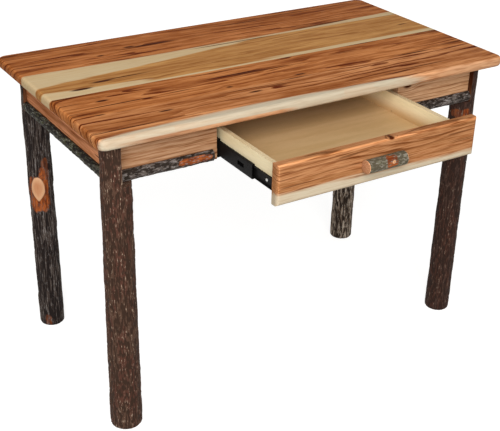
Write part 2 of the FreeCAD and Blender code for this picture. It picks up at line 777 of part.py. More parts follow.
# Loose fasteners, each kind in one node.
long_screw = val("side_thick + front_thick + pull_screw_bite - screw_end_play")
front_screw = val("side_thick + front_screw_bite - screw_end_play")
group("pull_screws", [
    screw((val(x), val("side_thick - front_back"), val(level)), (0, -1, 0), long_screw)
    for x, level in PULL_SCREWS
])
group("drawer_front_screws", [
    screw((val(x), val("side_thick - front_back"), val(level)), (0, -1, 0), front_screw)
    for x, level in FRONT_SCREWS
])
slide_z = val("slide_level")
group("slide_cabinet_screws", [
    screw((side * val("open_half - steel"), val(f"cabinet_rear - slide_length + {along}"), slide_z),
          (side, 0, 0), val("screw_length"))
    for side in (-1, 1) for along in SLIDE_SCREWS
])
group("slide_drawer_screws", [
    screw((side * val("box_half + steel"), val(f"drawer_slide_rear - slide_length + {along}"), slide_z),
          (-side, 0, 0), val("side_thick"))
    for side in (-1, 1) for along in SLIDE_SCREWS
])
peg = val("dowel_diameter / 2")
peg_length = val("dowel_seat + dowel_bite")
peg_profile = [(0, 0), (peg - 1, 0), (peg, 1)]
peg_profile += [(peg, peg_length - 1), (peg - 1, peg_length), (0, peg_length)]
group("apron_dowels", [
    turned(peg_profile, Vector(val(x), val(y), val(level)) - Vector(*way) * val("dowel_seat"), way)
    for side, end in CORNERS.values() for run in "xy" for x, y, level, way in dowels(side, end, run)
])
group("top_screws", [
    screw((val(x), val(y), val("block_bottom" if number < 4 else "underside - stretcher_thick")), (0, 0, 1),
          val("block_height" if number < 4 else "stretcher_thick") + val("top_screw_bite - screw_end_play"))
    for number, (x, y) in enumerate(TOP_SCREWS)
])


def on_diagonal(side, end, reach):
    """A point on the bolt line of a corner, measured inwards from the inner corner of the aprons."""
    step = reach * 0.5 ** 0.5
    return (side * (val("inner_x") - step), end * (val("inner_y") - step), val("bolt_level"))


def diagonal_group(label, profile, reach):
    group(label, [
        turned(profile, on_diagonal(side, end, reach), (-side, -end, 0))
        for side, end in CORNERS.values()
    ])


rod = val("bolt_diameter / 2")
hole = val("bolt_hole")
face = val("block_face")
washer = val("washer_thick")
nut = val("nut_thick")
start = val("screw_end_play - leg_flat * sqrt(0.5) - bolt_grip")
end_of_bolt = face + washer + nut + val("bolt_tail")
bolt_length = end_of_bolt - start
diagonal_group("hanger_bolts", [
    (0, 0),
    (rod - 1, 0),
    (rod, 1.5),
    (rod, bolt_length - 1),
    (rod - 1, bolt_length),
    (0, bolt_length),
], start)
rim = val("washer_diameter / 2")
diagonal_group("hanger_washers", [(hole, 0), (rim, 0), (rim, washer), (hole, washer)], face)
across = val("nut_flats / sqrt(3)")
hexagon = Part.makePolygon([Rotation(60 * turn, 0, 0).multVec(Vector(across, 0, 0)) for turn in range(7)])
blank = Part.Face(hexagon).extrude(Vector(0, 0, nut)).cut(Part.makeCylinder(hole, nut))
nuts = []
for side, end in CORNERS.values():
    piece = blank.copy()
    piece.Placement = Placement(Vector(*on_diagonal(side, end, face + washer)),
                                Rotation(Vector(0, 0, 1), Vector(-side, -end, 0)))
    nuts.append(piece)
group("hanger_nuts", nuts)

doc.recompute()
for thing in doc.Objects:
    if {"Invalid", "Error"} & set(thing.State):
        raise ValueError(f"{thing.Label} failed: {thing.State}")
for node in nodes:
    if node.Shape.isNull() or not node.Shape.isValid():
        raise ValueError(f"{node.Label} has no valid shape")
os.makedirs("parts", exist_ok=True)
for node in nodes:
    node.Shape.exportStep(f"parts/{node.Label}.step")
print(len(nodes), "nodes written")
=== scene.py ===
import math

import bpy
from mathutils import Matrix, Vector


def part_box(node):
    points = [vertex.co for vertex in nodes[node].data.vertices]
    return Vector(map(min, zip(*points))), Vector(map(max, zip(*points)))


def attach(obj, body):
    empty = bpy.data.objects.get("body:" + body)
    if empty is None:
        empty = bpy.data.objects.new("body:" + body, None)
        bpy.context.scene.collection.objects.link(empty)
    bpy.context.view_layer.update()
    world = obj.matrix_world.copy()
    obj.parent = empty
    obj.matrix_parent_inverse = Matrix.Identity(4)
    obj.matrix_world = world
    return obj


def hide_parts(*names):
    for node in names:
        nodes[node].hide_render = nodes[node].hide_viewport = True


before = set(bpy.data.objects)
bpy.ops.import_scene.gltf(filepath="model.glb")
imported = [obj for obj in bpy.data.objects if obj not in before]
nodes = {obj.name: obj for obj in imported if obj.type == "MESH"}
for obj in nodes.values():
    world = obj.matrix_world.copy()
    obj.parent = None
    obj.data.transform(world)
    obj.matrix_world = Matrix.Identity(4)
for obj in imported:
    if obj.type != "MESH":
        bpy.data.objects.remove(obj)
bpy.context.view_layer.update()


# Desk top: four solid hickory boards, planed, edge-glued and sanded flush, with the outside
# edge rounded over with a router and the whole finished in satin lacquer. Screwed up from below.
def linear(colour):
    """An sRGB hex colour as the linear RGBA that Blender's sockets take."""
    parts = [int(colour[start:start + 2], 16) / 255 for start in (1, 3, 5)]
    return (*[part / 12.92 if part <= 0.04045 else ((part + 0.055) / 1.055) ** 2.4 for part in parts], 1)


def add(tree, kind, sockets=None, **settings):
    """One node in a tree, with its settings made and its sockets set or linked."""
    node = tree.nodes.new(kind)
    for name, value in settings.items():
        setattr(node, name, value)
    for key, value in (sockets or {}).items():
        if isinstance(key, str):
            socket = next(one for one in node.inputs if one.name == key and one.enabled)
        else:
            socket = node.inputs[key]
        if isinstance(value, bpy.types.Node):
            value = next(one for one in value.outputs if one.enabled)
        if isinstance(value, bpy.types.NodeSocket):
            tree.links.new(value, socket)
        else:
            socket.default_value = value
    return node


def blank_material(name):
    """A new material and its empty node tree."""
    material = bpy.data.materials.new(name)
    material.use_nodes = True
    material.node_tree.nodes.clear()
    return material, material.node_tree


mm_per_metre = 1000


def object_place(tree):
    """A material's coordinate node, and the place on the piece in millimetres."""
    coords = add(tree, "ShaderNodeTexCoord")
    spot = add(tree, "ShaderNodeVectorMath", {0: coords.outputs["Object"], "Scale": mm_per_metre},
               operation="SCALE")
    return coords, spot


# Hickory under satin lacquer: orange-brown heartwood in long flat-sawn figure, dark year lines and
# mineral streaks, cream sapwood at some edges, small dark knots, and arcs of rings on the sawn ends.
def solid_wood(name, run, pith, heart, shade, streak, sap, seed, sapwood=(), marks=(), streaks=0.7,
               lines=0.7, year=13, late_share=0.34, vein=(4.5, 240), pore=0.5, grit=2, edge_highlight=1.24):
    """Sizes in millimetres. run gives the axes along, across and through the board, and pith the heart of
    the log across and through it. A strip of sapwood has an edge, its slope and bow, and the way it lies
    from there; it may fade along the board and keep low_heart at the bottom of its edge. A mark is a place
    along and across, a half length and a half width. streaks, lines and pore are strengths; year, vein and
    grit are the sizes of a ring, a streak and a pore, and rub is the painted highlight's gain on rounded
    edges.
    """
    material, tree = blank_material(name)
    coords, spot = object_place(tree)
    axes = add(tree, "ShaderNodeSeparateXYZ", {0: spot})
    along, across, deep = (axes.outputs[axis] for axis in run)
    board = add(tree, "ShaderNodeCombineXYZ", {"X": along, "Y": across, "Z": deep})

    # The grain wanders by a finger's width over an arm's length of board.
    drift_scale = (1 / 420, 1 / 110, 1 / 110)
    sway = 34
    slow = add(tree, "ShaderNodeVectorMath", {0: board, 1: drift_scale}, operation="MULTIPLY")
    drift = add(tree, "ShaderNodeTexNoise", {"Vector": slow, "W": seed, "Scale": 1, "Detail": 2},
                noise_dimensions="4D")
    wander = add(tree, "ShaderNodeMath", {0: drift, 1: 0.5}, operation="SUBTRACT")
    side = add(tree, "ShaderNodeMath", {0: wander, 1: sway, 2: across}, operation="MULTIPLY_ADD")
    reach = add(tree, "ShaderNodeCombineXYZ", {"X": side, "Y": deep})
    radius = add(tree, "ShaderNodeVectorMath", {0: reach, 1: (*pith, 0)}, operation="DISTANCE")

    # Knots and short mineral marks are dark, and the rings swell out round them.
    dark = None
    for mark_along, mark_across, half_length, half_width in marks:
        shifted = add(tree, "ShaderNodeVectorMath", {0: board, 1: (mark_along, mark_across, 0)},
                      operation="SUBTRACT")
        squeezed = add(tree, "ShaderNodeVectorMath", {0: shifted, 1: (1 / half_length, 1 / half_width, 0)},
                       operation="MULTIPLY")
        away = add(tree, "ShaderNodeVectorMath", {0: squeezed}, operation="LENGTH")
        swell = add(tree, "ShaderNodeMapRange", {"Value": away, "From Min": 3.2, "From Max": 0,
                    "To Max": 1.2 * half_width}, interpolation_type="SMOOTHSTEP")
        radius = add(tree, "ShaderNodeMath", {0: radius, 1: swell}, operation="ADD")
        ragged = add(tree, "ShaderNodeMath", {0: wander, 1: 1.5, 2: away}, operation="MULTIPLY_ADD")
        core = add(tree, "ShaderNodeMapRange", {"Value": ragged, "From Min": 1.2, "From Max": 0.4},
                   interpolation_type="SMOOTHSTEP")
        if dark is not None:
            core = add(tree, "ShaderNodeMath", {0: dark, 1: core}, operation="MAXIMUM")
        dark = core

    # Year rings darken slowly and close in a dark line, some strong and some faint, crowded here and
    # there. Real rings are 2 mm wide, too fine to show from here, so most are drawn 8 to 14 mm wide, and
    # 26 mm on the top.
    board_step = 61.7
    band_scale = (1 / 38, 1 / 620, 1)
    crowding = 4.5
    strength_scale = (1 / 17, 1 / 230, 3)
    rings = add(tree, "ShaderNodeCombineXYZ", {"X": radius, "Y": along, "Z": board_step * seed})
    broad = add(tree, "ShaderNodeVectorMath", {0: rings, 1: band_scale}, operation="MULTIPLY")
    band = add(tree, "ShaderNodeTexNoise", {"Vector": broad, "Scale": 1, "Detail": 3, "Roughness": 0.6})
    age = add(tree, "ShaderNodeMath", {0: radius, 1: year}, operation="DIVIDE")
    age = add(tree, "ShaderNodeMath", {0: band, 1: crowding, 2: age}, operation="MULTIPLY_ADD")
    season = add(tree, "ShaderNodeMath", {0: age}, operation="FRACT")
    summer = add(tree, "ShaderNodeMapRange", {"Value": season, "From Min": 0.15, "From Max": 0.95,
                 "To Max": 0.55}, interpolation_type="SMOOTHSTEP")
    cloud = add(tree, "ShaderNodeMapRange", {"Value": band, "From Min": 0.32, "From Max": 0.68,
                "To Max": 0.6}, interpolation_type="SMOOTHSTEP")
    tone = add(tree, "ShaderNodeMath", {0: summer, 1: cloud}, operation="ADD", use_clamp=True)
    wood = add(tree, "ShaderNodeMix", {"Factor": tone, 6: linear(heart), 7: linear(shade)}, data_type="RGBA")
    closing = add(tree, "ShaderNodeMapRange", {"Value": season, "From Min": 1 - late_share,
                  "From Max": 1 - 0.45 * late_share, "To Max": lines}, interpolation_type="SMOOTHSTEP")
    opening = add(tree, "ShaderNodeMapRange", {"Value": season, "From Min": 1,
                  "From Max": 1 - 0.12 * late_share})
    late = add(tree, "ShaderNodeMath", {0: closing, 1: opening}, operation="MULTIPLY")
    uneven = add(tree, "ShaderNodeVectorMath", {0: rings, 1: strength_scale}, operation="MULTIPLY")
    uneven = add(tree, "ShaderNodeTexNoise", {"Vector": uneven, "Scale": 1, "Detail": 1})
    strong = add(tree, "ShaderNodeMapRange", {"Value": uneven, "From Min": 0.43, "From Max": 0.64,
                 "To Min": 0.05}, interpolation_type="SMOOTHSTEP")
    late = add(tree, "ShaderNodeMath", {0: late, 1: strong}, operation="MULTIPLY")
    wood = add(tree, "ShaderNodeMix", {"Factor": late, 6: wood, 7: linear("#946029")}, data_type="RGBA",
               blend_type="MULTIPLY")

    # Mineral streaks: a few millimetres wide, and a hand or two long.
    vein_scale = (1 / vein[0], 1 / vein[1], 5)
    long_way = add(tree, "ShaderNodeVectorMath", {0: rings, 1: vein_scale}, operation="MULTIPLY")
    mineral = add(tree, "ShaderNodeTexNoise", {"Vector": long_way, "Scale": 1, "Detail": 2,
                  "Roughness": 0.45})
    veined = add(tree, "ShaderNodeMapRange", {"Value": mineral, "From Min": 0.61, "From Max": 0.67,
                 "To Max": streaks}, interpolation_type="SMOOTHSTEP")
    wood = add(tree, "ShaderNodeMix", {"Factor": veined, 6: wood, 7: linear(streak)}, data_type="RGBA")

    # Sapwood: beyond a line that follows the drift of the grain and frays along it.
    fray = 16
    wave = 22
    faint = add(tree, "ShaderNodeMath", {0: tone, 1: 0.2}, operation="MULTIPLY")
    pale = add(tree, "ShaderNodeMix", {"Factor": faint, 6: linear(sap), 7: linear(heart)}, data_type="RGBA")
    smooth = None
    frayed = add(tree, "ShaderNodeMath", {0: mineral, 1: 0.5}, operation="SUBTRACT")
    frayed = add(tree, "ShaderNodeMath", {0: frayed, 1: fray, 2: across}, operation="MULTIPLY_ADD")
    for strip in sapwood:
        leaning = add(tree, "ShaderNodeMath", {0: along, 1: strip.get("slope", 0), 2: strip["edge"]},
                      operation="MULTIPLY_ADD")
        squared = add(tree, "ShaderNodeMath", {0: along, 1: along}, operation="MULTIPLY")
        bowed = add(tree, "ShaderNodeMath", {0: squared, 1: strip.get("bow", 0), 2: leaning},
                    operation="MULTIPLY_ADD")
        wavy = add(tree, "ShaderNodeMath", {0: wander, 1: wave, 2: frayed}, operation="MULTIPLY_ADD")
        beyond = add(tree, "ShaderNodeMath", {0: wavy, 1: bowed}, operation="SUBTRACT")
        soft = strip["way"] * strip.get("soft", 2.5)
        inside = add(tree, "ShaderNodeMapRange", {"Value": beyond, "From Min": -soft, "From Max": soft,
                     "To Max": strip.get("strength", 1)}, interpolation_type="SMOOTHSTEP")
        if "fade" in strip:
            none, whole = strip["fade"]
            faded = add(tree, "ShaderNodeMapRange", {"Value": along, "From Min": none, "From Max": whole},
                        interpolation_type="SMOOTHSTEP")
            inside = add(tree, "ShaderNodeMath", {0: inside, 1: faded}, operation="MULTIPLY")
        if "low_heart" in strip:
            first, full, fall, last, level = strip["low_heart"]
            begun = add(tree, "ShaderNodeMapRange", {"Value": along, "From Min": first, "From Max": full})
            held = add(tree, "ShaderNodeMapRange", {"Value": along, "From Min": last, "From Max": fall})
            below = add(tree, "ShaderNodeMapRange", {"Value": deep, "From Min": level + 1,
                        "From Max": level - 1.5})
            heart_low = add(tree, "ShaderNodeMath", {0: begun, 1: held}, operation="MULTIPLY")
            heart_low = add(tree, "ShaderNodeMath", {0: heart_low, 1: below}, operation="MULTIPLY")
            kept = add(tree, "ShaderNodeMath", {0: heart_low, 1: -0.75, 2: 1}, operation="MULTIPLY_ADD")
            inside = add(tree, "ShaderNodeMath", {0: inside, 1: kept}, operation="MULTIPLY")
        wood = add(tree, "ShaderNodeMix", {"Factor": inside, 6: wood, 7: pale}, data_type="RGBA")
        if smooth is not None:
            inside = add(tree, "ShaderNodeMath", {0: smooth, 1: inside}, operation="MAXIMUM")
        smooth = inside
    if dark is not None:
        wood = add(tree, "ShaderNodeMix", {"Factor": dark, 6: wood, 7: linear("#421b0a")}, data_type="RGBA")

    # Open pores run with the grain. Real ones are 0.3 mm wide, so they are drawn 2 mm wide on pieces that
    # face the eye and 4 mm on the top, which is seen at a low angle.
    pore_scale = (1 / 45, 1 / grit, 1 / grit)
    thread = add(tree, "ShaderNodeVectorMath", {0: board, 1: pore_scale}, operation="MULTIPLY")
    pores = add(tree, "ShaderNodeTexNoise", {"Vector": thread, "Scale": 1, "Detail": 2})
    hollow = add(tree, "ShaderNodeMapRange", {"Value": pores, "From Min": 0.56, "From Max": 0.36,
                 "To Max": pore})
    highlight_share = 1.0
    if smooth is not None:
        closed = add(tree, "ShaderNodeMath", {0: smooth, 1: -0.65, 2: 1}, operation="MULTIPLY_ADD")
        hollow = add(tree, "ShaderNodeMath", {0: hollow, 1: closed}, operation="MULTIPLY")
        highlight_share = add(tree, "ShaderNodeMath", {0: 1, 1: smooth}, operation="SUBTRACT")
    wood = add(tree, "ShaderNodeMix", {"Factor": hollow, 6: wood, 7: linear("#b3854e")}, data_type="RGBA",
               blend_type="MULTIPLY")

    # Rounded long edges of heartwood are lightened as a painted highlight, and sawn ends drink more lacquer
    # and look deeper.
    facing = add(tree, "ShaderNodeVectorMath", {0: coords.outputs["Normal"]}, operation="ABSOLUTE")
    facing = add(tree, "ShaderNodeSeparateXYZ", {0: facing})
    turned = facing.outputs[run[0]]
    flat = add(tree, "ShaderNodeMath", {0: facing.outputs[run[1]], 1: facing.outputs[run[2]]},
               operation="MAXIMUM")
    sawn = add(tree, "ShaderNodeMath", {0: turned, 1: 1.6}, operation="MULTIPLY")
    flat = add(tree, "ShaderNodeMath", {0: flat, 1: sawn}, operation="MAXIMUM")
    painted_highlight = add(tree, "ShaderNodeMapRange", {"Value": flat, "From Min": 0.96, "From Max": 0.78,
                 "To Min": 1, "To Max": edge_highlight}, interpolation_type="SMOOTHSTEP")
    wood = add(tree, "ShaderNodeMix", {"Factor": highlight_share, 6: wood, 7: painted_highlight}, data_type="RGBA",
               blend_type="MULTIPLY")
    soaked = add(tree, "ShaderNodeMapRange", {"Value": turned, "From Min": 0.55, "From Max": 0.95,
                 "To Min": 1, "To Max": 0.85}, interpolation_type="SMOOTHSTEP")
    wood = add(tree, "ShaderNodeMix", {"Factor": 1.0, 6: wood, 7: soaked}, data_type="RGBA",
               blend_type="MULTIPLY")
    rough = add(tree, "ShaderNodeMapRange", {"Value": pores, "From Min": 0.3, "From Max": 0.7,
                "To Min": 0.55, "To Max": 0.42})
    bump = add(tree, "ShaderNodeBump", {"Height": pores, "Strength": 0.3, "Distance": 0.0003})
    shader = add(tree, "ShaderNodeBsdfPrincipled", {"Base Color": wood, "Roughness": rough, "Normal": bump,
                 "Specular IOR Level": 0.008, "Specular Tint": linear("#d9a06a")})
    add(tree, "ShaderNodeOutputMaterial", {"Surface": shader})
    return material


def finish(node, material):
    """Gives a node of the part its material."""
    nodes[node].material_slots[0].material = material


# The top is seen at a low angle, so its rings, streaks and pores are drawn wider than elsewhere.
top_figure = {"year": 26, "late_share": 0.32, "vein": (6.5, 400), "grit": 4}

# Back board: orange-brown heart, with a cream strip where it meets the middle board.
finish("top_board_back", solid_wood(
    "hickory_back_board", "XYZ", (150, 640), "#c8804a", "#995526", "#5c2a0a", "#cdb58d", seed=1.0,
    sapwood=[{"edge": 250.5, "slope": 0.02, "bow": 0.00003, "way": -1}],
    marks=[(-185, 327, 75, 6), (-243, 333, 18, 6), (-335, 304, 12, 5)],
    streaks=0.9, lines=0.9, **top_figure))
# Middle board: quiet tan heart between cream sapwood on both sides.
finish("top_board_middle", solid_wood(
    "hickory_middle_board", "XYZ", (-60, 640), "#ca9558", "#ab743f", "#7a4a22", "#d2ba91", seed=2.3,
    sapwood=[{"edge": 226, "slope": 0.125, "way": 1},
             {"edge": 64, "slope": -0.1, "way": -1, "fade": (-285, -330)},
             {"edge": 82, "way": -1},
             {"edge": 95, "way": -1, "fade": (-20, 90)}],
    marks=[(-407, 136, 30, 6), (-350, 141, 70, 3), (-469, 110, 26, 6), (507, 158, 22, 4.5),
           (5, 241.5, 130, 3.2)],
    streaks=0.3, lines=0.3, pore=0.3, **top_figure))
# Inner board: red-brown heart from edge to edge, with the boldest dark figure.
finish("top_board_inner", solid_wood(
    "hickory_inner_board", "XYZ", (150, 640), "#d38b52", "#9d5828", "#562407", "#d3bf98", seed=3.9,
    marks=[(-167, -38, 15, 8), (-425, -9, 110, 3), (-459, 22, 16, 5), (26, -44, 22, 5), (-498, -52, 20, 5),
           (-120, 30, 90, 3.2), (-279, -6, 60, 3), (370, -50, 70, 4)],
    streaks=0.85, lines=1, **top_figure))
# Front board: the same heart, with grey-cream sapwood along its edge that runs out towards the right.
finish("top_board_front", solid_wood(
    "hickory_front_board", "XYZ", (30, 640), "#d99661", "#a26031", "#562407", "#c7bba3", seed=5.2,
    sapwood=[{"edge": -162, "slope": -0.048, "bow": -0.00013, "way": -1, "soft": 5, "fade": (480, 180),
              "low_heart": (-530, -440, -120, -70, 749)},
             {"edge": -180, "way": -1, "soft": 4, "fade": (150, 420), "strength": 0.28}],
    marks=[(-363, -97, 22, 5), (-129, -92, 20, 5), (10, -60, 60, 3), (-480, -144, 100, 2.4),
           (340, -136, 90, 2.6)],
    streaks=0.95, lines=1, **top_figure))


# Legs: young hickory logs with the bark on, squared off only where the aprons meet them at the top,
# lacquered bark and all. A hanger bolt through each corner block draws the log to the aprons.
def pick(piece, kind, test):
    """Enters edit mode with only those vertices, edges or faces picked that pass the test."""
    bpy.ops.object.mode_set(mode="EDIT")
    bpy.ops.mesh.select_mode(type=kind)
    bpy.ops.mesh.select_all(action="DESELECT")
    bpy.ops.object.mode_set(mode="OBJECT")
    mesh = piece.data
    for part in {"VERT": mesh.vertices, "EDGE": mesh.edges, "FACE": mesh.polygons}[kind]:
        part.select = test(part)
    bpy.ops.object.mode_set(mode="EDIT")


def runs(piece, axis):
    """A test for edges that run along one axis."""
    def test(edge):
        start, end = (piece.data.vertices[number].co for number in edge.vertices)
        step = end - start
        return abs(step[axis]) > 0.9 * step.length
    return test


def slice_along(piece, axis, *cuts):
    """Cuts the long faces crosswise into many short ones."""
    for count in cuts:
        pick(piece, "EDGE", runs(piece, axis))
        bpy.ops.mesh.subdivide(number_cuts=count)
        bpy.ops.object.mode_set(mode="OBJECT")


def apply_place(piece):
    """Moves the picked piece's place, turn and size into its mesh."""
    bpy.ops.object.transform_apply(location=True, rotation=True, scale=True)
    return piece


def box_piece(name, low, high):
    """A block between two corners, as the blank of a piece or as a cutter."""
    bpy.ops.object.select_all(action="DESELECT")
    bpy.ops.mesh.primitive_cube_add(size=1, location=(Vector(low) + Vector(high)) / 2)
    piece = bpy.context.object
    piece.name = name
    piece.scale = Vector(high) - Vector(low)
    return apply_place(piece)


def saw(piece, low, high, material):
    """Saws a square notch out of a piece, leaving bare wood on the cut."""
    cutter = box_piece("saw_cut", low, high)
    cutter.data.materials.append(material)
    notch = piece.modifiers.new("notch", "BOOLEAN")
    notch.object = cutter
    notch.operation = "DIFFERENCE"
    notch.solver = "EXACT"
    notch.material_mode = "TRANSFER"
    bpy.context.view_layer.objects.active = piece
    bpy.ops.object.modifier_apply(modifier="notch")
    bpy.data.objects.remove(cutter)


def relief(piece, middle, run, free, cell, depth, lump, seed, patches=(), bark_side=None):
    """Raises bark on a piece: furrows that weave along it, lumps, and patches where the bark is off.

    Sizes in millimetres. middle is a point on the piece's axis, run the axis number along it and free
    the share of each axis that the bark may move in. A patch is an angle in degrees round the run, a
    height along it, a half width, a half height and a kind: "knot" for a cut branch, "peeled" for bare
    inner bark and "worn" for a faint peel. bark_side is the axis across a slab, the place on it where the
    bark begins, and the way it faces. The furrows, the peeled patches and the knot stay on the mesh as
    attributes.
    """
    lump_size = 70
    bark_edge = 5
    tree = bpy.data.node_groups.new(piece.name + "_relief", "GeometryNodeTree")
    tree.interface.new_socket("Geometry", in_out="INPUT", socket_type="NodeSocketGeometry")
    tree.interface.new_socket("Geometry", in_out="OUTPUT", socket_type="NodeSocketGeometry")
    start = add(tree, "NodeGroupInput")
    here = add(tree, "GeometryNodeInputPosition")
    spot = add(tree, "ShaderNodeVectorMath", {0: here, "Scale": mm_per_metre}, operation="SCALE")
    spot = add(tree, "ShaderNodeVectorMath", {0: spot, 1: middle}, operation="SUBTRACT")

    # Four noises about nought: three stretched along the run, and one for the lumps of the log.
    size = [1 / cell[0]] * 3
    size[run] = 1 / cell[1]
    stretched = add(tree, "ShaderNodeVectorMath", {0: spot, 1: size}, operation="MULTIPLY")
    noises = []
    for place, scale, detail, step in ((stretched, 1, 2, 0), (stretched, 2.3, 3, 3), (stretched, 0.6, 4, 5),
                                       (spot, 1 / lump_size, 2, 7)):
        noise = add(tree, "ShaderNodeTexNoise", {"Vector": place, "Scale": scale, "Detail": detail,
                    "W": seed + step}, noise_dimensions="4D")
        noises.append(add(tree, "ShaderNodeMath", {0: noise, 1: 0.5}, operation="SUBTRACT"))
    weave, chips, torn, swell = noises

    # Furrows lie where the weave passes nought, roughened by finer chips.
    middle_line = add(tree, "ShaderNodeMath", {0: weave}, operation="ABSOLUTE")
    furrow = add(tree, "ShaderNodeMapRange", {"Value": middle_line, "From Min": 0.1, "From Max": 0.01},
                 interpolation_type="SMOOTHSTEP")
    groove = add(tree, "ShaderNodeMath", {0: chips, 1: 1.6, 2: furrow}, operation="MULTIPLY_ADD")

    # Patches where a branch was cut or the bark peeled.
    marks = {}
    for angle, height, half_width, half_height, kind in patches:
        turn = math.radians(angle)
        out = [math.cos(turn), math.sin(turn)]
        out.insert(run, 0)
        side = [-math.sin(turn), math.cos(turn)]
        side.insert(run, 0)
        up = [float(axis == run) for axis in range(3)]
        outward, sideways, upward = [
            add(tree, "ShaderNodeVectorMath", {0: spot, 1: way}, operation="DOT_PRODUCT")
            for way in (out, side, up)]
        level = add(tree, "ShaderNodeMath", {0: upward, 1: height}, operation="SUBTRACT")
        wide = add(tree, "ShaderNodeMath", {0: sideways, 1: half_width}, operation="DIVIDE")
        wide = add(tree, "ShaderNodeMath", {0: wide}, operation="ABSOLUTE")
        high = add(tree, "ShaderNodeMath", {0: level, 1: half_height}, operation="DIVIDE")
        high = add(tree, "ShaderNodeMath", {0: high, 1: high}, operation="MULTIPLY")
        if kind != "knot":
            wide = add(tree, "ShaderNodeMath", {0: wide, 1: 4}, operation="POWER")
            high = add(tree, "ShaderNodeMath", {0: high, 1: 2}, operation="POWER")
        else:
            taper = add(tree, "ShaderNodeMapRange", {"Value": level, "From Min": -0.4 * half_height,
                        "From Max": 0.3 * half_height, "To Min": 1, "To Max": 2.2})
            wide = add(tree, "ShaderNodeMath", {0: wide, 1: taper}, operation="POWER")
        reach = add(tree, "ShaderNodeMath", {0: wide, 1: high}, operation="ADD")
        if kind != "knot":
            reach = add(tree, "ShaderNodeMath", {0: torn, 1: 4, 2: reach}, operation="MULTIPLY_ADD")
        inside = add(tree, "ShaderNodeMapRange", {"Value": reach, "From Min": 1.08,
                     "From Max": 0.2 if kind == "knot" else 0.92, "To Max": 0.4 if kind == "worn" else 1})
        front = add(tree, "ShaderNodeMath", {0: outward, 1: 0}, operation="GREATER_THAN")
        mark = add(tree, "ShaderNodeMath", {0: inside, 1: front}, operation="MULTIPLY")
        layer = "knot" if kind == "knot" else "peeled"
        if layer in marks:
            mark = add(tree, "ShaderNodeMath", {0: marks[layer], 1: mark}, operation="MAXIMUM")
        marks[layer] = mark

    # The log's own lumps, then the height of the bark, the bare patches and the knot over them.
    swell = add(tree, "ShaderNodeMath", {0: swell, 1: 4 * lump}, operation="MULTIPLY")
    rise = add(tree, "ShaderNodeMath", {0: groove, 1: -depth, 2: swell}, operation="MULTIPLY_ADD")
    for layer, mark in marks.items():
        step = {"peeled": -0.8 * depth, "knot": 0.6 * depth}[layer]
        bare = add(tree, "ShaderNodeMath", {0: swell, 1: step}, operation="ADD")
        cleared = add(tree, "ShaderNodeMapRange", {"Value": mark, "From Max": 0.2})
        rise = add(tree, "ShaderNodeMix", {"Factor": cleared, "A": rise, "B": bare})
    if bark_side:
        axis, face, way = bark_side
        apart = add(tree, "ShaderNodeSeparateXYZ", {0: spot})
        share = add(tree, "ShaderNodeMapRange", {"Value": apart.outputs[axis], "From Min": face,
                    "From Max": face + bark_edge * way}, interpolation_type="SMOOTHSTEP")
        rise = add(tree, "ShaderNodeMath", {0: rise, 1: share}, operation="MULTIPLY")
    normal = add(tree, "GeometryNodeInputNormal")
    freed = add(tree, "ShaderNodeVectorMath", {0: normal, 1: free}, operation="MULTIPLY")
    metres = add(tree, "ShaderNodeMath", {0: rise, 1: 1 / mm_per_metre}, operation="MULTIPLY")
    offset = add(tree, "ShaderNodeVectorMath", {0: freed, "Scale": metres}, operation="SCALE")
    kept = start
    for name, mark in {"furrow": groove, **marks}.items():
        kept = add(tree, "GeometryNodeStoreNamedAttribute", {"Geometry": kept, "Name": name, "Value": mark},
                   data_type="FLOAT", domain="POINT")
    raised = add(tree, "GeometryNodeSetPosition", {"Geometry": kept, "Offset": offset})
    add(tree, "NodeGroupOutput", {0: raised})
    raising = piece.modifiers.new("relief", "NODES")
    raising.node_group = tree
    bpy.context.view_layer.objects.active = piece
    bpy.ops.object.modifier_apply(modifier="relief")
    bpy.data.node_groups.remove(tree)


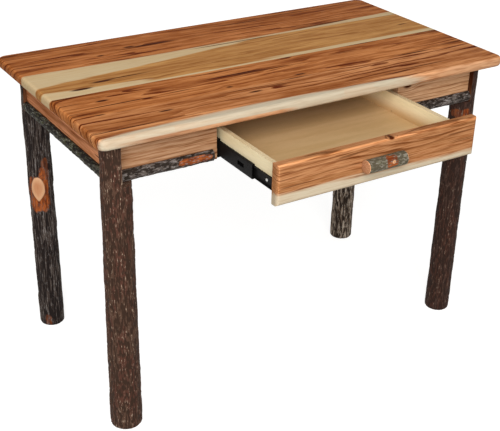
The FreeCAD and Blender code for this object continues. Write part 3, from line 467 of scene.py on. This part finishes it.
# Hickory bark under lacquer: dull ridges, near-black furrows, pale flecks of lichen and worn cork,
# orange inner bark where it has peeled, and a pale almond of bare wood where a branch was cut.
def bark(name, run, ridge, tint, furrow, fleck, flecks, sparse=0, moss=None):
    """Sizes in millimetres, stretched along the axis number run. ridge, tint and furrow are the bark's own
    colours; flecks is the strength of the pale flecks and sparse how rare they are.
    """
    plate_width = 8
    plate_length = 44
    moss_size = 17
    material, tree = blank_material(name)
    spot = object_place(tree)[1]
    groove, peeled, knot = [add(tree, "ShaderNodeAttribute", attribute_name=layer).outputs["Fac"]
                            for layer in ("furrow", "peeled", "knot")]
    size = [1 / plate_width] * 3
    size[run] = 1 / plate_length
    stretched = add(tree, "ShaderNodeVectorMath", {0: spot, 1: size}, operation="MULTIPLY")
    cloud = add(tree, "ShaderNodeTexNoise", {"Vector": stretched, "Scale": 0.5, "Detail": 3})
    patch = add(tree, "ShaderNodeMapRange", {"Value": cloud, "From Min": 0.42, "From Max": 0.58},
                interpolation_type="SMOOTHSTEP")
    skin = add(tree, "ShaderNodeMix", {"Factor": patch, 6: linear(ridge), 7: linear(tint)}, data_type="RGBA")
    if moss:
        green = add(tree, "ShaderNodeTexNoise", {"Vector": spot, "Scale": 1 / moss_size, "Detail": 4,
                    "W": 3.1}, noise_dimensions="4D")
        grown = add(tree, "ShaderNodeMapRange", {"Value": green, "From Min": 0.5, "From Max": 0.62})
        skin = add(tree, "ShaderNodeMix", {"Factor": grown, 6: skin, 7: linear(moss)}, data_type="RGBA")
    sunk = add(tree, "ShaderNodeMapRange", {"Value": groove, "From Min": 0.1, "From Max": 0.8},
               interpolation_type="SMOOTHSTEP")
    skin = add(tree, "ShaderNodeMix", {"Factor": sunk, 6: skin, 7: linear(furrow)}, data_type="RGBA")

    # Flecks under 2 mm wide, a little stretched, on the crowns of the ridges more than in the furrows.
    crumb = add(tree, "ShaderNodeTexNoise", {"Vector": stretched, "Scale": 5, "Detail": 3, "W": 1.7,
                "Roughness": 0.6}, noise_dimensions="4D")
    low = add(tree, "ShaderNodeMath", {0: groove, 1: -0.12, 2: crumb}, operation="MULTIPLY_ADD")
    pale = add(tree, "ShaderNodeMapRange", {"Value": low, "From Min": 0.52 + sparse,
               "From Max": 0.61 + sparse, "To Max": flecks})
    skin = add(tree, "ShaderNodeMix", {"Factor": pale, 6: skin, 7: linear(fleck)}, data_type="RGBA")

    # Inner bark: streaky orange and red-brown, with crumbs of the dark bark left on it.
    streaky = add(tree, "ShaderNodeTexNoise", {"Vector": stretched, "Scale": 1.4, "Detail": 3, "W": 4.3},
                  noise_dimensions="4D")
    reddish = add(tree, "ShaderNodeMapRange", {"Value": streaky, "From Min": 0.4, "From Max": 0.6})
    bast = add(tree, "ShaderNodeMix", {"Factor": reddish, 6: linear("#a65829"), 7: linear("#6b3014")},
               data_type="RGBA")
    left = add(tree, "ShaderNodeMapRange", {"Value": crumb, "From Min": 0.58, "From Max": 0.5,
               "To Min": 0.25})
    bare = add(tree, "ShaderNodeMath", {0: peeled, 1: left}, operation="MULTIPLY")
    skin = add(tree, "ShaderNodeMix", {"Factor": bare, 6: skin, 7: bast}, data_type="RGBA")
    ring = add(tree, "ShaderNodeMath", {0: streaky, 1: 0.7, 2: knot}, operation="MULTIPLY_ADD")
    inner = add(tree, "ShaderNodeMapRange", {"Value": ring, "From Min": 0.6, "From Max": 1.5})
    branch = add(tree, "ShaderNodeMix", {"Factor": inner, 6: linear("#d6a57d"), 7: linear("#ba7f58")},
                 data_type="RGBA")
    cut = add(tree, "ShaderNodeMapRange", {"Value": knot, "From Min": 0.02, "From Max": 0.12})
    skin = add(tree, "ShaderNodeMix", {"Factor": cut, 6: skin, 7: branch}, data_type="RGBA")

    fine = add(tree, "ShaderNodeTexNoise", {"Vector": stretched, "Scale": 6, "Detail": 3})
    bump = add(tree, "ShaderNodeBump", {"Height": fine, "Strength": 0.7, "Distance": 0.0012})
    shader = add(tree, "ShaderNodeBsdfPrincipled", {"Base Color": skin, "Roughness": 0.62, "Normal": bump,
                 "Specular IOR Level": 0.08})
    add(tree, "ShaderNodeOutputMaterial", {"Surface": shader})
    return material


# Sawn hickory: the dark brown of bare cuts.
sawn_wood = solid_wood("hickory_sawn_end", "ZXY", (0, 0), "#6f4830", "#553521", "#3c2113", "#d3bb95",
                       seed=9.1)
saw_past = 0.01
half_log = 0.1
leg_sides = 120
leg_cuts = (90, 3)
foot_round = 0.004
on_floor = 0.001
bark_crease = 50


def bark_ledges(piece):
    """The narrow ledges under the notches keep the colour of the bark."""
    top = max(vertex.co.z for vertex in piece.data.vertices)
    for face in piece.data.polygons:
        if face.normal.z > 0.9 and face.center.z < top - saw_past:
            face.material_index = 0


def shade_smooth(piece, crease):
    """Smooths a piece but for the edges that turn by more than so many degrees."""
    bpy.ops.object.select_all(action="DESELECT")
    piece.select_set(True)
    bpy.context.view_layer.objects.active = piece
    bpy.ops.object.shade_smooth_by_angle(angle=math.radians(crease))


def log_leg(corner, foot, head, cell, depth, lump, seed, skin, patches=()):
    """A log with its foot eased and its head notched. Sizes in millimetres: the radii at foot and head,
    the furrows' width and length and their depth, and the height of the lumps.
    """
    name = "leg_" + corner
    low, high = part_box(name)
    middle = (low + high) / 2
    bpy.ops.object.select_all(action="DESELECT")
    bpy.ops.mesh.primitive_cone_add(vertices=leg_sides, radius1=foot / mm_per_metre,
                                    radius2=head / mm_per_metre, depth=high.z,
                                    location=(middle.x, middle.y, high.z / 2))
    piece = apply_place(bpy.context.object)
    piece.name = "log_" + name
    pick(piece, "EDGE", lambda edge: all(piece.data.vertices[v].co.z < on_floor for v in edge.vertices))
    bpy.ops.mesh.bevel(offset=foot_round, segments=3, affect="EDGES")
    bpy.ops.object.mode_set(mode="OBJECT")
    slice_along(piece, 2, *leg_cuts)
    piece.data.materials.append(skin)
    piece.data.materials.append(sawn_wood)
    axis_foot = (mm_per_metre * middle.x, mm_per_metre * middle.y, 0)
    relief(piece, axis_foot, 2, (1, 1, 0), cell, depth, lump, seed, patches)
    for face in piece.data.polygons:
        face.material_index = int(abs(face.normal.z) > 0.9 and len(face.vertices) > 4)
    top = high.z + saw_past
    if corner[1] == "l":
        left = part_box("apron_left")[1].x
        right = left + 2 * half_log
    else:
        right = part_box("apron_right")[0].x
        left = right - 2 * half_log
    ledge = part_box("bark_rail_front_left")[0].z
    saw(piece, (left, middle.y - half_log, ledge), (right, middle.y + half_log, top), sawn_wood)
    if corner[0] == "f":
        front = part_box("apron_front_left")[1].y
        back = front + 2 * half_log
    else:
        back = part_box("apron_back")[0].y
        front = back - 2 * half_log
    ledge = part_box("bark_rail_left")[0].z
    saw(piece, (middle.x - half_log, front, ledge), (middle.x + half_log, back, top), sawn_wood)
    bark_ledges(piece)
    shade_smooth(piece, bark_crease)
    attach(piece, "frame")
    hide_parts(name)


# Front left: brown bark with small bright flecks.
log_leg("fl", 38.5, 33.5, (5, 40), 1.4, 1.0, 1.0,
        bark("bark_brown_flecked", 2, "#513b2f", "#503228", "#35251c", "#b8a28b", flecks=0.85, sparse=0.055))
# Front right: darker brown, with a small spot near the top where the bark has gone.
log_leg("fr", 33.5, 31, (5, 42), 1.1, 0.8, 2.0,
        bark("bark_dark_brown", 2, "#402e27", "#432a21", "#2b1d17", "#94816f", flecks=0.75, sparse=0.06),
        [(-130, 607, 24, 11, "worn"), (-107, 609, 8, 13, "peeled")])
# Back left: grey and deeply furrowed, with a cut branch in a peeled patch halfway up.
log_leg("bl", 33, 32, (5.5, 80), 2.0, 1.0, 3.0,
        bark("bark_grey_furrowed", 2, "#4c423c", "#3a302b", "#1c1513", "#908b88", flecks=0.5),
        [(-133, 404, 28, 48, "peeled"), (-101, 450, 9, 30, "peeled"), (-84, 470, 10, 36, "worn"),
         (-128, 16, 10, 20, "worn"), (-126, 420, 17, 34, "knot")])
# Back right: light grey ridges with lichen on them, and dark furrows.
log_leg("br", 34, 33.5, (6, 60), 2.0, 1.0, 4.0,
        bark("bark_grey_lichen", 2, "#958474", "#675648", "#281e17", "#cdc1b2", flecks=0.95))

# Aprons: planed hickory boards doweled between the legs, the front one in two halves that leave
# the drawer opening between them. The front left log is planed flush with its apron beside it.
# The front and the back are a quiet light brown.
apron_light = solid_wood("hickory_apron_left", "XZY", (600, -200), "#bf9675", "#a67a56", "#6a4226",
                         "#cfb48f", seed=11.4, streaks=0.5, lines=0.6, year=8)
finish("apron_front_left", apron_light)
# The right half is paler, with one small knot.
finish("apron_front_right", solid_wood(
    "hickory_apron_right", "XZY", (600, -200), "#d1a680", "#b58861", "#5a3520", "#cfb48f", seed=12.9,
    marks=[(287, 716, 14, 7)], streaks=0.35, lines=0.4, year=8))
finish("apron_back", apron_light)
# The sides are orange with bold dark figure.
apron_side = solid_wood("hickory_apron_side", "YZX", (590, -600), "#e6a074", "#96562b", "#56240a", "#cfb48f",
                        seed=14.2, streaks=0.95, lines=1, year=14, vein=(6, 200))
finish("apron_left", apron_side)
finish("apron_right", apron_side)
apron_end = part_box("apron_front_left")[0]
planed_width = 0.012
clear_height = 1
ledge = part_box("bark_rail_front_left")[0].z
planed_leg = bpy.data.objects["log_leg_fl"]
saw(planed_leg, (apron_end.x - planed_width, apron_end.y - half_log, ledge),
    (apron_end.x + saw_past, apron_end.y, clear_height), apron_light)
bark_ledges(planed_leg)


# Bark rails: slabs sawn from the outside of a small log and glued under the aprons, flat at the back,
# top and bottom and bark-on in front. The front pair is cut back bare where the drawer front closes.
def bark_rail(place, run, way, skin, cell, depth, seed, cuts, patches=()):
    """A slab along the axis number run, with bark on the side that way says. Furrows in millimetres."""
    slab_round = 0.0116
    bark_thick = 0.012
    lump = 0.6
    low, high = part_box("bark_rail_" + place)
    if place == "front_left":
        low.x -= planed_width
    piece = box_piece("bark_slab_" + place, low, high)
    across = 1 - run
    outer = (high if way > 0 else low)[across]
    pick(piece, "EDGE", lambda edge: runs(piece, run)(edge) and all(
        abs(piece.data.vertices[v].co[across] - outer) < 1e-5 for v in edge.vertices))
    bpy.ops.mesh.bevel(offset=slab_round, segments=9, affect="EDGES")
    bpy.ops.object.mode_set(mode="OBJECT")
    slice_along(piece, run, *cuts)
    piece.data.materials.append(skin)
    piece.data.materials.append(sawn_wood)
    middle = (low + high) / 2
    middle[across] = outer - way * bark_thick
    free = [1, 1, 1]
    free[run] = 0
    relief(piece, mm_per_metre * middle, run, free, cell, depth, lump, seed, patches,
           ("XY"[across], 0, way))
    for face in piece.data.polygons:
        bare = way * face.normal[across] < -0.5 or abs(face.normal[run]) > 0.9
        bare = bare or (abs(face.normal.z) > 0.95 and way * (face.center[across] - middle[across]) < 0.001)
        face.material_index = int(bare)
    return piece, low, high


def seat_rail(piece, place):
    """Smooths a finished slab and puts it in the place of its node."""
    shade_smooth(piece, bark_crease)
    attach(piece, "frame")
    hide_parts("bark_rail_" + place)


front_play = 0.0025
# The front slabs are grey with pale flecks.
rail_grey = bark("bark_rail_grey", 0, "#605751", "#544a44", "#2a231e", "#a8a3a0", flecks=0.7)
# The side and back slabs are darker, with a green cast.
rail_green = bark("bark_rail_lichen", 1, "#413e33", "#352f27", "#1b1713", "#9a9c92", flecks=0.6,
                  moss="#3d3d26")
for place, seed, patches in (("front_left", 7.0, [(170, 62, 8, 40, "peeled")]), ("front_right", 6.0, [])):
    piece, low, high = bark_rail(place, 0, -1, rail_grey, (6, 26), 1.2, seed, (96,), patches)
    bottom = low.z - saw_past
    top = high.z + saw_past
    outside = low.y - 2 * saw_past
    if place == "front_left":
        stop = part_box("drawer_front")[0].x - front_play
        saw(piece, (stop, outside, bottom), (high.x + saw_past, apron_end.y, top), apron_light)
        saw(piece, (low.x - saw_past, apron_end.y, bottom), (apron_end.x, high.y + saw_past, top), sawn_wood)
    else:
        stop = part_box("drawer_front")[1].x + front_play
        saw(piece, (low.x - saw_past, outside, bottom), (stop, apron_end.y, top), apron_light)
    seat_rail(piece, place)
for place, run, way, seed, cuts in (("left", 1, -1, 8.0, (100, 1)), ("right", 1, 1, 9.0, (100, 1)),
                                    ("back", 0, 1, 10.0, (100, 3))):
    piece, low, high = bark_rail(place, run, way, rail_green, (7, 30), 1.4, seed, cuts)
    seat_rail(piece, place)

# Inner framing: pale poplar corner blocks, a stretcher over the drawer and runners for the slides,
# planed and left unfinished, with beech dowels and zinc hanger bolts, washers, nuts and screws.
inner_wood = solid_wood("poplar_planed", "YXZ", (0, 500), "#c4a67c", "#ad8d63", "#8e7350", "#d6c19a",
                        seed=17.0, streaks=0.2)
for node in ("corner_block_fl", "corner_block_fr", "corner_block_bl", "corner_block_br", "front_stretcher",
             "runner_left", "runner_right", "apron_dowels"):
    finish(node, inner_wood)


# Zinc-plated steel: bright grey with a faint cloudy grain from the bath.
def plated(name, colour, rough, metallic=1.0, shine=0.5):
    cloud_size = 2.5
    material, tree = blank_material(name)
    spot = object_place(tree)[1]
    cloud = add(tree, "ShaderNodeTexNoise", {"Vector": spot, "Scale": 1 / cloud_size, "Detail": 3})
    dull = add(tree, "ShaderNodeMapRange", {"Value": cloud, "From Min": 0.35, "From Max": 0.65,
               "To Min": rough - 0.07, "To Max": rough + 0.07})
    shade = add(tree, "ShaderNodeMapRange", {"Value": cloud, "From Min": 0.3, "From Max": 0.7,
                "To Min": 0.85, "To Max": 1.05})
    coat = add(tree, "ShaderNodeMix", {"Factor": 1.0, 6: linear(colour), 7: shade}, data_type="RGBA",
               blend_type="MULTIPLY")
    shader = add(tree, "ShaderNodeBsdfPrincipled", {"Base Color": coat, "Roughness": dull,
                 "Metallic": metallic, "Specular IOR Level": shine})
    add(tree, "ShaderNodeOutputMaterial", {"Surface": shader})
    return material


zinc = plated("zinc_plated_steel", "#c3c4c0", 0.32)
for node in ("hanger_bolts", "hanger_washers", "hanger_nuts", "top_screws", "slide_cabinet_screws",
             "slide_drawer_screws", "drawer_front_screws", "pull_screws"):
    finish(node, zinc)

# Drawer slides: three channels a side, rolled from steel strip and coated black, running on steel
# balls in pressed cages; screwed to the runners and to the drawer sides.
# The coating is dull and nearly black, the cages are bright steel and the balls shine.
slide_black = plated("black_coated_steel", "#0c0b0b", 0.55, metallic=0.0, shine=0.12)
cage_steel = plated("bright_pressed_steel", "#a9a8a3", 0.38)
ball_steel = plated("polished_bearing_steel", "#d0d0ce", 0.15)
for side in ("left", "right"):
    for part in ("cabinet", "middle", "drawer"):
        finish(f"slide_{side}_{part}", slide_black)
    for part in ("outer_cage", "inner_cage"):
        finish(f"slide_{side}_{part}", cage_steel)
finish("slide_outer_balls", ball_steel)
finish("slide_inner_balls", ball_steel)


# Drawer box: birch plywood sides, front and back round a thin birch bottom let into a groove,
# sealed with clear lacquer. Cream faces with a faint long figure; the cut edges show brown plies.
def birch_ply(name, run, light, deep_tone, seed, shade_band=None):
    """Sizes in millimetres. run gives the axes along, across and through the sheet. amber gives the
    heights across it where a painted shade is darkest and where it ends.
    """
    figure_scale = (1 / 260, 1 / 30, 1)
    pore_scale = (1 / 20, 1, 1)
    ply_pair = 2.6
    material, tree = blank_material(name)
    coords, spot = object_place(tree)
    axes = add(tree, "ShaderNodeSeparateXYZ", {0: spot})
    along, across, deep = (axes.outputs[axis] for axis in run)
    sheet = add(tree, "ShaderNodeCombineXYZ", {"X": along, "Y": across, "Z": seed})
    slow = add(tree, "ShaderNodeVectorMath", {0: sheet, 1: figure_scale}, operation="MULTIPLY")
    figure = add(tree, "ShaderNodeTexNoise", {"Vector": slow, "Scale": 1, "Detail": 3, "Distortion": 0.6})
    tone = add(tree, "ShaderNodeMapRange", {"Value": figure, "From Min": 0.35, "From Max": 0.68},
               interpolation_type="SMOOTHSTEP")
    veneer = add(tree, "ShaderNodeMix", {"Factor": tone, 6: linear(light), 7: linear(deep_tone)},
                 data_type="RGBA")
    if shade_band:
        # Painted shade: darker and warmer toward one edge of the band.
        darkest, clear = shade_band
        painted_shade = add(tree, "ShaderNodeMapRange", {"Value": across, "From Min": clear, "From Max": darkest,
                     "To Max": 0.8}, interpolation_type="SMOOTHSTEP")
        veneer = add(tree, "ShaderNodeMix", {"Factor": painted_shade, 6: veneer, 7: linear("#bd8d52")},
                     data_type="RGBA")
    count = add(tree, "ShaderNodeMath", {0: deep, 1: ply_pair}, operation="DIVIDE")
    beat = add(tree, "ShaderNodeMath", {0: count}, operation="FRACT")
    ply = add(tree, "ShaderNodeMath", {0: beat, 1: 0.5}, operation="GREATER_THAN")
    facing = add(tree, "ShaderNodeSeparateXYZ", {0: coords.outputs["Normal"]})
    turned = add(tree, "ShaderNodeMath", {0: facing.outputs[run[2]]}, operation="ABSOLUTE")
    edge = add(tree, "ShaderNodeMapRange", {"Value": turned, "From Min": 0.7, "From Max": 0.4})
    dark = add(tree, "ShaderNodeMath", {0: ply, 1: edge}, operation="MULTIPLY")
    dark = add(tree, "ShaderNodeMath", {0: dark, 1: 0.85}, operation="MULTIPLY")
    veneer = add(tree, "ShaderNodeMix", {"Factor": dark, 6: veneer, 7: linear("#a9824f")}, data_type="RGBA")
    thread = add(tree, "ShaderNodeVectorMath", {0: sheet, 1: pore_scale}, operation="MULTIPLY")
    pores = add(tree, "ShaderNodeTexNoise", {"Vector": thread, "Scale": 1, "Detail": 2})
    fleck = add(tree, "ShaderNodeMapRange", {"Value": pores, "From Min": 0.35, "From Max": 0.6,
                "To Min": 0.93, "To Max": 1.02})
    veneer = add(tree, "ShaderNodeMix", {"Factor": 1.0, 6: veneer, 7: fleck}, data_type="RGBA",
                 blend_type="MULTIPLY")
    bump = add(tree, "ShaderNodeBump", {"Height": pores, "Strength": 0.2, "Distance": 0.0002})
    rough = add(tree, "ShaderNodeMapRange", {"Value": pores, "To Min": 0.5, "To Max": 0.38})
    shader = add(tree, "ShaderNodeBsdfPrincipled", {"Base Color": veneer, "Roughness": rough, "Normal": bump,
                 "Specular IOR Level": 0.25})
    add(tree, "ShaderNodeOutputMaterial", {"Surface": shader})
    return material


ply_side = birch_ply("birch_ply_side", "YZX", "#f3e3bc", "#ebd9ad", 1.0)
ply_cross = birch_ply("birch_ply_cross", "XZY", "#e6cd9f", "#dabf90", 2.0)
finish("drawer_side_left", ply_side)
# The right side is painted a little paler than the left as painted light, with painted shade darker and
# warmer toward its bottom.
finish("drawer_side_right", birch_ply("birch_ply_side_painted_shade", "YZX", "#f9e8c0", "#f0deb2", 1.0,
                                      shade_band=(660, 698)))
finish("drawer_box_front", ply_cross)
finish("drawer_back", ply_cross)
finish("drawer_bottom", birch_ply("birch_ply_bottom", "XYZ", "#d1ae7e", "#c9a573", 3.0))

# Drawer front: one hickory board with its edges well rounded, screwed on from inside the box so that
# it overlaps the opening; reddish heart above, a strip of cream sapwood along the bottom.
# Its rounded edges carry a stronger painted highlight than the other boards.
finish("drawer_front", solid_wood(
    "hickory_drawer_front", "XZY", (590, -330), "#c38a5f", "#ad774c", "#552a10", "#c8bca3", seed=21.5,
    sapwood=[{"edge": 656, "slope": -0.022, "way": -1, "soft": 6}], marks=[(28, 726.5, 8, 3)],
    streaks=0.65, lines=0.65, year=11, vein=(2.8, 150), pore=0.62, edge_highlight=1.6))

# Pull: a finger-thick length of branch with its smooth grey-green bark on, flattened at the back and
# screwed through the drawer front; the ends are chamfered bare wood and one patch has lost its bark.
twig_sides = 72
twig_cuts = 64
bark_rise = 0.0004
end_chamfer = 0.0028
twig_crease = 40
low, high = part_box("drawer_pull")
pull_radius = (high.z - low.z) / 2
pull_axis = Vector(((low.x + high.x) / 2, low.y + pull_radius, (low.z + high.z) / 2))
bpy.ops.object.select_all(action="DESELECT")
bpy.ops.mesh.primitive_cylinder_add(vertices=twig_sides, radius=pull_radius - bark_rise,
                                    depth=high.x - low.x, location=pull_axis,
                                    rotation=(0, math.pi / 2, 0))
pull = apply_place(bpy.context.object)
pull.name = "twig_pull"
pick(pull, "EDGE", lambda edge: not runs(pull, 0)(edge))
bpy.ops.mesh.bevel(offset=end_chamfer, segments=2, affect="EDGES")
bpy.ops.object.mode_set(mode="OBJECT")
slice_along(pull, 0, twig_cuts)
pull_heart = mm_per_metre * pull_axis
pull.data.materials.append(bark(
    "bark_twig_grey_green", 0, "#7f7767", "#6f6858", "#544c3c", "#b0b0b2", flecks=0.25, moss="#6a6650"))
pull.data.materials.append(solid_wood(
    "hickory_twig_end", "XYZ", (pull_heart.y, pull_heart.z), "#d59f78", "#c08a64", "#8f5f40", "#d3bb95",
    seed=23.0, streaks=0.2, lines=0.4, year=3))
relief(pull, pull_heart, 0, (0, 1, 1), (5, 14), 0.3, 0.25, 12.0,
       [(150, 9, 14, 15, "peeled"), (165, 12, 3.5, 4.5, "knot")])
for face in pull.data.polygons:
    face.material_index = int(abs(face.normal.x) > 0.3)
pick(pull, "FACE", lambda face: True)
bpy.ops.mesh.bisect(plane_co=(0, high.y, 0), plane_no=(0, 1, 0), use_fill=True, clear_outer=True)
bpy.ops.object.mode_set(mode="OBJECT")
shade_smooth(pull, twig_crease)
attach(pull, "drawer")
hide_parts("drawer_pull")

# Studio: a wide sheet of white paper under an even white sky, with one large soft light at the front
# left. The paper and the sky look white to the eye but throw less light than that on the desk.
def seen_rays(tree):
    """1 for a ray that the camera sees, straight, in a mirror or through glass, and 0 for any other."""
    path = add(tree, "ShaderNodeLightPath")
    seen = path.outputs["Is Camera Ray"]
    for kind in ("Is Glossy Ray", "Is Transmission Ray"):
        seen = add(tree, "ShaderNodeMath", {0: seen, 1: path.outputs[kind]}, operation="MAXIMUM")
    return seen


floor_size = 40
bpy.ops.object.select_all(action="DESELECT")
bpy.ops.mesh.primitive_plane_add(size=floor_size, location=(0, 0, 0))
floor = bpy.context.object
floor.name = "studio_floor"
paper, tree = blank_material("white_paper_floor")
coords = add(tree, "ShaderNodeTexCoord")
away = add(tree, "ShaderNodeVectorMath", {0: coords.outputs["Object"]}, operation="LENGTH")
white = add(tree, "ShaderNodeMapRange", {"Value": away, "From Min": 1.2, "From Max": 5, "To Min": 0.8,
            "To Max": 1.0}, interpolation_type="SMOOTHSTEP")
strength = add(tree, "ShaderNodeMath", {0: seen_rays(tree), 1: white}, operation="MULTIPLY")
matte = add(tree, "ShaderNodeBsdfDiffuse", {"Color": linear("#b4b3b0")})
glow = add(tree, "ShaderNodeEmission", {"Strength": strength})
both = add(tree, "ShaderNodeAddShader", {0: matte, 1: glow})
add(tree, "ShaderNodeOutputMaterial", {"Surface": both})
floor.data.materials.append(paper)

world = bpy.data.worlds.new("studio_white")
bpy.context.scene.world = world
world.use_nodes = True
world.node_tree.nodes.clear()
sky_level = add(world.node_tree, "ShaderNodeMapRange", {"Value": seen_rays(world.node_tree),
                "To Min": 0.36, "To Max": 1.0})
sky = add(world.node_tree, "ShaderNodeBackground", {"Color": linear("#ffffff"), "Strength": sky_level})
add(world.node_tree, "ShaderNodeOutputWorld", {"Surface": sky})

key_spot = Vector((-2.1, -3.3, 2.9))
key_aim = Vector((0, 0, 0.5))
key_lamp = bpy.data.lights.new("soft_box_key", "AREA")
key_lamp.shape = "SQUARE"
key_lamp.size = 3.4
key_lamp.energy = 240
key_light = bpy.data.objects.new("soft_box_key", key_lamp)
key_light.location = key_spot
key_light.rotation_euler = (key_aim - key_spot).to_track_quat("-Z", "Y").to_euler()
bpy.context.scene.collection.objects.link(key_light)

# Camera: a short telephoto from the front left, well above the desk, as the desk was pictured. Its
# place, turn and focal length were fitted to the desk's corners.
camera_spot = (-1.2978, -1.9031, 1.5733)
film_width = 36
picture_width_px = 500
focal_length_px = 1001.586
yaw, pitch, roll = (math.radians(angle) for angle in (32.6586, 27.6946, -1.3949))
ahead = Vector((math.sin(yaw) * math.cos(pitch), math.cos(yaw) * math.cos(pitch), -math.sin(pitch)))
right = Vector((math.cos(yaw), -math.sin(yaw), 0))
down = ahead.cross(right)
view_right = math.cos(roll) * right + math.sin(roll) * down
view_down = math.cos(roll) * down - math.sin(roll) * right
lens = bpy.data.cameras.new("picture_camera")
lens.sensor_fit = "HORIZONTAL"
lens.sensor_width = film_width
lens.lens = film_width * focal_length_px / picture_width_px
camera = bpy.data.objects.new("picture_camera", lens)
camera.matrix_world = Matrix((view_right, -view_down, -ahead)).transposed().to_4x4()
camera.location = camera_spot
bpy.context.scene.collection.objects.link(camera)
bpy.context.scene.camera = camera
bpy.context.scene.view_settings.view_transform = "Standard"
